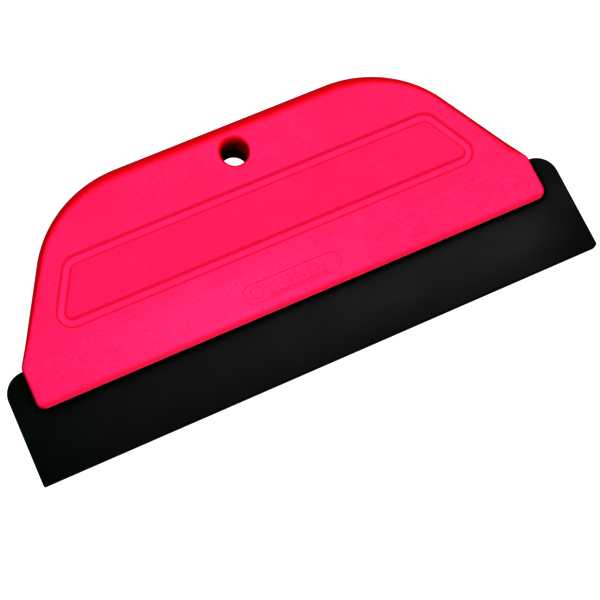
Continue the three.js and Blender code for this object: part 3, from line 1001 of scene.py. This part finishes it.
def shaded_pink(tree, colour, y, level):
    """Painted shade on the channel's walls, the slopes, what faces the working edge and the jaw's
    lip, darker than soft light alone leaves them, and painted light on the channel's floor and along
    the lip's foot.
    """
    panel = on_panel(tree, y)
    elsewhere = maths(tree, "SUBTRACT", 1.0, panel)
    down = product(tree, facing(tree, DOWN), soft_step(tree, y, *ABOVE_LIP))
    return tinted(tree, colour, (
        (product(tree, groove_floor(tree, y), panel), PINK["groove floor"]),
        (product(tree, remap(tree, level, *STEEP, 0.0, 1.0), elsewhere), PINK["steep"]),
        (product(tree, soft_step(tree, level, *GROOVE_WALL_SLOPE), panel), PINK["groove wall"]),
        (soft_step(tree, down, *DOWNWARD_SLOPE), PINK["facing down"]),
        (soft_step(tree, y, *ON_LIP), PINK["jaw lip"]),
        (soft_step(tree, y, *ON_LIP_EDGE), PINK["jaw lip edge"]),
    ))


def rimmed_pink(tree, colour, y, level):
    """Painted shade on the rims that roll over, on the right-hand side and on the hang hole's rim.
    """
    hole_rim = product(tree, remap(tree, level, *HOLE_RIM_SLOPE, 0.0, 1.0), near_hole(tree, y))
    return tinted(tree, colour, (
        (right_strip(tree, y, RIGHT_SIDE), PINK["right side"]),
        (larger(tree, painted_rim_shade(tree, y), hole_rim), PINK["rim shade"]),
        (right_strip(tree, y, RIGHT_RIM), PINK["right rim"]),
    ))


def pink_plastic():
    material, tree, shader = new_material("pink_plastic")
    y = distance_along(tree, UP)
    level = maths(tree, "ABSOLUTE", facing(tree, OUT))
    shelter = sheltered(tree, y, level)
    colour = moulded_pink(tree, y)
    colour = shaded_pink(tree, colour, y, level)
    colour = rimmed_pink(tree, colour, y, level)
    # painted shade in the jaw's corners and the hang hole's bore, where the shine is taken away too
    colour = mix_colours(tree, shelter, colour, PINK["sheltered"])
    tree.links.new(colour, shader.inputs["Base Color"])
    scuffs = noise(tree, 9, detail=4, roughness=0.6)
    tree.links.new(remap(tree, scuffs, 0.3, 0.7, 0.52, 0.66), shader.inputs["Roughness"])
    shader.inputs["Specular IOR Level"].default_value = PLASTIC_SPECULAR
    shine = remap(tree, shelter, 0.0, 0.8, PLASTIC_SPECULAR, 0.0)
    tree.links.new(shine, shader.inputs["Specular IOR Level"])
    fine = bump(tree, noise(tree, 0.35, detail=1), depth_mm=0.006)
    waves = bump(tree, noise(tree, 14, detail=1), depth_mm=0.05, normal=fine)
    tree.links.new(waves, shader.inputs["Normal"])
    return material


def black_rubber():
    material, tree, shader = new_material("black_rubber")
    x, y = distance_along(tree, ALONG), distance_along(tree, UP)
    left, right = soft_step(tree, x, *BLADE_LEFT_END), soft_step(tree, x, *BLADE_RIGHT_END)
    clouds = remap(tree, noise(tree, 18, detail=4, roughness=0.6), 0.35, 0.7, 0.0, 1.0)
    dusty = remap(tree, noise(tree, 30), 0.4, 0.7, 0.0, 0.5)
    dust = product(tree, specks(tree, spacing_mm=2.6, radius_mm=0.16), dusty)
    # painted shadow: near black where the handle hems the rubber in, with its shine cut there too
    clear = open_air(tree, distance_mm=7, closed=0.72, clear=0.98)
    colour = mix_colours(tree, clouds, BLACK["dark cloud"], BLACK["light cloud"])
    colour = tinted(tree, colour, ((dust, BLACK["dust"]), (left, BLACK["left end"])))
    colour = mix_colours(tree, clear, BLACK["sheltered"], colour)
    tree.links.new(colour, shader.inputs["Base Color"])
    smears = noise(tree, 20, detail=5, roughness=0.6)
    tree.links.new(remap(tree, smears, 0.3, 0.75, 0.44, 0.52), shader.inputs["Roughness"])
    dull = product(tree, soft_step(tree, y, *BLADE_WORKING_STRIP), WORKING_STRIP_DULLNESS)
    dull = maths(tree, "ADD", dull, product(tree, left, LEFT_END_DULLNESS))
    dull = maths(tree, "ADD", dull, product(tree, right, RIGHT_END_DULLNESS))
    shine = product(tree, clear, remap(tree, dull, 0.0, 1.0, RUBBER_SHINE, 0.0))
    shader.inputs["Specular IOR Level"].default_value = RUBBER_SPECULAR
    tree.links.new(shine, shader.inputs["Specular IOR Level"])
    fine = bump(tree, noise(tree, 0.25, detail=1), depth_mm=0.004)
    waves = bump(tree, noise(tree, 10, detail=1), depth_mm=0.03, normal=fine)
    tree.links.new(waves, shader.inputs["Normal"])
    return material


def floor_material():
    """Pale, and evenly lit by itself."""
    material, _, shader = new_material("pale_floor")
    shader.inputs["Base Color"].default_value = FLOOR_GREY
    shader.inputs["Roughness"].default_value = 0.9
    shader.inputs["Specular IOR Level"].default_value = 0.0
    shader.inputs["Emission Color"].default_value = WHITE
    shader.inputs["Emission Strength"].default_value = FLOOR_GLOW
    return material


# ---- Camera, lights and floor -------------------------------------------------------------------

CAMERA_SENSOR = 36.0
CAMERA_LENS = 87.71
CAMERA_TARGET = Vector((-0.2, 0.94, 0.0))
CAMERA_DISTANCE = 580.5
CAMERA_SIGHT = Vector((0.1765, 0.2367, -0.9554))
CAMERA_UP = Vector((0.3857, 0.8764, 0.2884))

LAMP_TARGET = Vector((0.0, 25.0, 0.0))
LAMP_UP = Vector((0.0, 1.0, 0.01))
BOUNCE_LEANS = {"palm": (0.0, 0.7), "left": (-0.8, 0.0), "right": (0.8, 0.0)}
WORLD_STRENGTH = 0.13

FLOOR_RADIUS_M = 3.0
WALL_HEIGHT_M = 6.0
FLOOR_STEPS = 64


def look(thing, place_mm, sight, up):
    """Puts a camera or lamp at a point of the tool's frame, looking along a direction of it."""
    turn = TOOL.to_3x3().normalized()
    back = -(turn @ sight).normalized()
    right = (turn @ up).cross(back).normalized()
    axes = Matrix((right, back.cross(right), back)).transposed().to_4x4()
    thing.matrix_world = Matrix.Translation(TOOL @ place_mm) @ axes


def make_camera():
    data = bpy.data.cameras.new("camera")
    data.sensor_width = CAMERA_SENSOR
    data.lens = CAMERA_LENS
    camera = bpy.data.objects.new("camera", data)
    bpy.context.scene.collection.objects.link(camera)
    look(camera, CAMERA_TARGET - CAMERA_SIGHT * CAMERA_DISTANCE, CAMERA_SIGHT, CAMERA_UP)
    bpy.context.scene.camera = camera


def soft_light(name, direction, distance_mm, size_m, power):
    """A round lamp off in a direction of the tool's frame, aimed at the tool."""
    data = bpy.data.lights.new(name, "AREA")
    data.shape = "DISK"
    data.size = size_m
    data.energy = power
    lamp = bpy.data.objects.new(name, data)
    bpy.context.scene.collection.objects.link(lamp)
    towards = Vector(direction).normalized()
    look(lamp, LAMP_TARGET + towards * distance_mm, -towards, LAMP_UP)
    return lamp


def make_lights():
    """A key lamp overhead, a fill low in front, the floor's bounce, and a sheen for the rubber."""
    key = soft_light("key", (0.0, -0.05, 1.0), distance_mm=2000, size_m=0.8, power=41)
    key.visible_glossy = False
    low = soft_light("low", (-0.1, -1.0, 0.25), distance_mm=1500, size_m=0.6, power=9)
    low.visible_glossy = False
    for name, lean in BOUNCE_LEANS.items():
        bounce = soft_light("bounce_" + name, (*lean, -1.0), distance_mm=1600, size_m=0.6, power=20)
        bounce.visible_glossy = False
    sheen = soft_light("sheen", (0.34, 0.18, 0.925), distance_mm=1430, size_m=0.5, power=3.6)
    sheen.visible_diffuse = False


def make_surroundings():
    world = bpy.data.worlds.new("studio")
    world.use_nodes = True
    backdrop = world.node_tree.nodes["Background"]
    backdrop.inputs["Color"].default_value = WHITE
    backdrop.inputs["Strength"].default_value = WORLD_STRENGTH
    bpy.context.scene.world = world
    bpy.context.scene.view_settings.view_transform = "Standard"
    bpy.context.scene.view_settings.look = "Very High Contrast"


def make_floor():
    """A disc with a wall round it far away, so that low views see no horizon."""
    surface = Surface()
    rim = circle(FLOOR_RADIUS_M, 0, 0, FLOOR_STEPS)[:, :2]
    ground, top = surface.loop(with_z(rim, 0.0)), surface.loop(with_z(rim, WALL_HEIGHT_M))
    surface.faces.append(tuple(ground))
    surface.bridge(top, ground)
    floor = surface.object("floor")
    floor.data.materials.append(floor_material())
    floor.visible_diffuse = False
    floor.visible_glossy = False
    floor.visible_shadow = False
    floor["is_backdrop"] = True


# ---- Assembly -----------------------------------------------------------------------------------

SHELL_SHARP_ANGLE = math.radians(32)
BLADE_SHARP_ANGLE = math.radians(50)


def finish_piece(piece, material, sharp_angle):
    piece.data.materials.clear()
    piece.data.materials.append(material)
    smooth(piece, sharp_angle)
    return place(piece)


def main():
    make_camera()
    make_lights()
    make_surroundings()
    make_floor()
    plastic = pink_plastic()
    for shell, node in ((front_shell(), "handle_front_shell"), (rear_shell(), "handle_rear_shell")):
        finish_piece(shell, plastic, SHELL_SHARP_ANGLE)
        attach(shell, "handle")
        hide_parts(node)
    blade = finish_piece(rubber_blade(), black_rubber(), BLADE_SHARP_ANGLE)
    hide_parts("blade_root", "blade_lip")
    start, end = (TOOL @ Vector((0.0, y, 0.0)) for y in (FLEX_START_Y, FLEX_END_Y))
    tuple(start)
    tuple(end)
    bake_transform(blade)


main()

boxes = {"cad": cad_box, "visual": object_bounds()}
{name: [list(low), list(high)] for name, (low, high) in boxes.items()}
